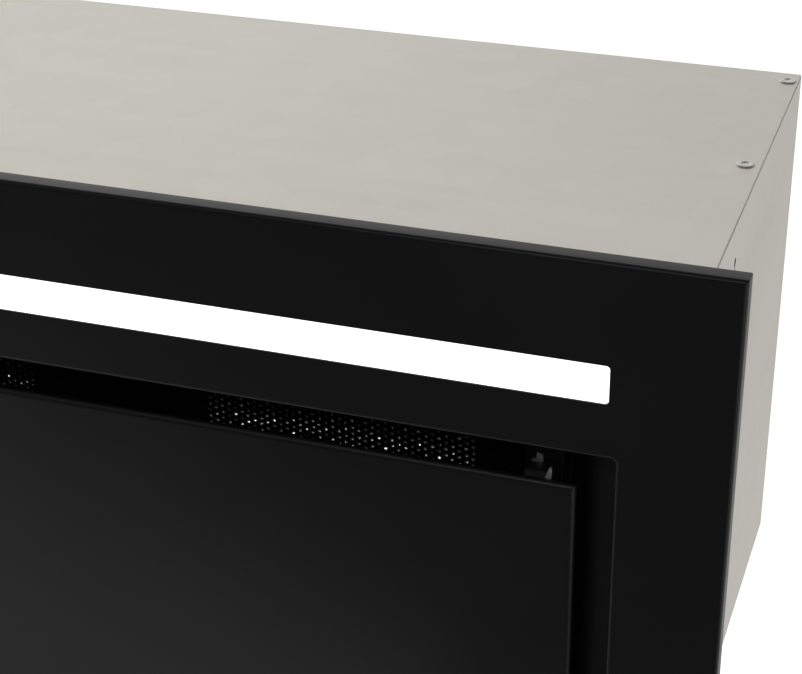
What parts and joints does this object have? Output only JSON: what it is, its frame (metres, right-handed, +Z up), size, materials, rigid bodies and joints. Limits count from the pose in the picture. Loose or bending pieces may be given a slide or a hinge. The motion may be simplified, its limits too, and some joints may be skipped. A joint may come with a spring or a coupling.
{
  "type": "built-in canopy cooker hood",
  "caption": "Built-in extractor hood: black front frame with flush light bar and hinged edge-suction panel on a galvanised casing with blower, filters and duct collar.",
  "frame": {"origin": "centre of the bounding box at its base: middle of the width and of the depth, at the lower edge of the front frame", "axes": "+X along the width, +Y from the black face back to the duct collar, +Z up across the face towards the light bar"},
  "size_m": [0.86, 0.325, 0.38],
  "materials": {
    "black_paint": "satin black powder coat",
    "black_filter_paint": "satin black coat on perforated sheet",
    "black_buttons": "fine matt moulded black",
    "opal_acrylic": "satin opal light cover",
    "aluminium_channel": "mill extrusion",
    "black_plastic": "moulded black, lightly textured",
    "circuit_board": "solder mask",
    "light_chip": "light chips",
    "panel_lining": "matt black liner sheet",
    "zinc_plate": "bright zinc plate",
    "tray_paint": "satin black coat inside the tray",
    "grease_mesh": "layered expanded mesh",
    "galvanised_sheet": "galvanised sheet, faint spangle",
    "motor_steel": "machined and pressed steel",
    "white_plastic": "moulded white"
  },
  "bodies": {
    "casing": {"front_frame": "black_paint", "light_cover": "opal_acrylic", "light_channel": "aluminium_channel", "light_end_caps": "black_plastic", "led_board": "circuit_board", "led_chips": "light_chip", "led_driver": "black_plastic", "hinge_brackets": "zinc_plate", "hinge_pins": "zinc_plate", "magnet_catches": "black_plastic", "catch_brackets": "tray_paint", "suction_tray": "tray_paint", "filter_carrier": "black_plastic", "top_sheet": "galvanised_sheet", "back_sheet": "galvanised_sheet", "bottom_sheet": "galvanised_sheet", "end_plate_left": "galvanised_sheet", "end_plate_right": "galvanised_sheet", "casing_rivets": "zinc_plate", "frame_studs": "zinc_plate", "frame_nuts": "zinc_plate", "side_clips": "zinc_plate", "clip_screws": "zinc_plate", "scroll_left": "black_plastic", "scroll_right": "black_plastic", "motor_stator": "motor_steel", "motor_can": "motor_steel", "motor_bearings": "motor_steel", "motor_bracket": "motor_steel", "capacitor": "white_plastic", "duct_collar": "black_plastic", "collar_screws": "zinc_plate", "damper_rods": "zinc_plate", "control_box": "black_plastic", "control_cover": "black_plastic", "control_board": "circuit_board", "terminal_block": "white_plastic", "cable_gland": "black_plastic", "button_housing": "black_plastic", "button_board": "circuit_board"},
    "panel": {"suction_panel": "black_paint", "panel_backing": "panel_lining", "panel_strikers": "zinc_plate", "panel_hinge_lugs": "zinc_plate"},
    "filter_left": {"filter_left": "black_filter_paint", "filter_mesh_left": "grease_mesh"},
    "filter_middle": {"filter_middle": "black_filter_paint", "filter_mesh_middle": "grease_mesh"},
    "filter_right": {"filter_right": "black_filter_paint", "filter_mesh_right": "grease_mesh"},
    "rotor": {"impeller": "black_plastic", "motor_shaft": "motor_steel", "motor_rotor": "motor_steel"},
    "flap_left": {"damper_left": "black_plastic"},
    "flap_right": {"damper_right": "black_plastic"},
    "button_1": {"button_1": "black_buttons"},
    "button_2": {"button_2": "black_buttons"},
    "button_3": {"button_3": "black_buttons"},
    "button_4": {"button_4": "black_buttons"},
    "button_5": {"button_5": "black_buttons"}
  },
  "joints": [
    {"name": "panel_hinge", "type": "hinge", "parent": "casing", "child": "panel", "pos_m": [0, -0.1599, 0.065], "axis": [1, 0, 0], "range_deg": [0, 90]},
    {"name": "filter_left_lift", "type": "slide", "parent": "casing", "child": "filter_left", "axis": [0, 0, 1], "range_m": [0, 0.006]},
    {"name": "filter_middle_lift", "type": "slide", "parent": "casing", "child": "filter_middle", "axis": [0, 0, 1], "range_m": [0, 0.006]},
    {"name": "filter_right_lift", "type": "slide", "parent": "casing", "child": "filter_right", "axis": [0, 0, 1], "range_m": [0, 0.006]},
    {"name": "impeller_spin", "type": "hinge", "parent": "casing", "child": "rotor", "pos_m": [0, -0.0045, 0.201], "axis": [1, 0, 0], "continuous": true},
    {"name": "flap_left_swing", "type": "hinge", "parent": "casing", "child": "flap_left", "pos_m": [-0.004, 0.0917, 0.228], "axis": [0, 0, -1], "range_deg": [0, 80], "stiffness_Nm_per_rad": 0.006, "springref_deg": -34.38},
    {"name": "flap_right_swing", "type": "hinge", "parent": "casing", "child": "flap_right", "pos_m": [0.004, 0.0917, 0.228], "axis": [0, 0, 1], "range_deg": [0, 80], "stiffness_Nm_per_rad": 0.006, "springref_deg": -34.38},
    {"name": "button_1_press", "type": "slide", "parent": "casing", "child": "button_1", "axis": [0, 1, 0], "range_m": [0, 0.0015], "stiffness_N_per_m": 600, "springref_m": -0.001},
    {"name": "button_2_press", "type": "slide", "parent": "casing", "child": "button_2", "axis": [0, 1, 0], "range_m": [0, 0.0015], "stiffness_N_per_m": 600, "springref_m": -0.001},
    {"name": "button_3_press", "type": "slide", "parent": "casing", "child": "button_3", "axis": [0, 1, 0], "range_m": [0, 0.0015], "stiffness_N_per_m": 600, "springref_m": -0.001},
    {"name": "button_4_press", "type": "slide", "parent": "casing", "child": "button_4", "axis": [0, 1, 0], "range_m": [0, 0.0015], "stiffness_N_per_m": 600, "springref_m": -0.001},
    {"name": "button_5_press", "type": "slide", "parent": "casing", "child": "button_5", "axis": [0, 1, 0], "range_m": [0, 0.0015], "stiffness_N_per_m": 600, "springref_m": -0.001}
  ]
}
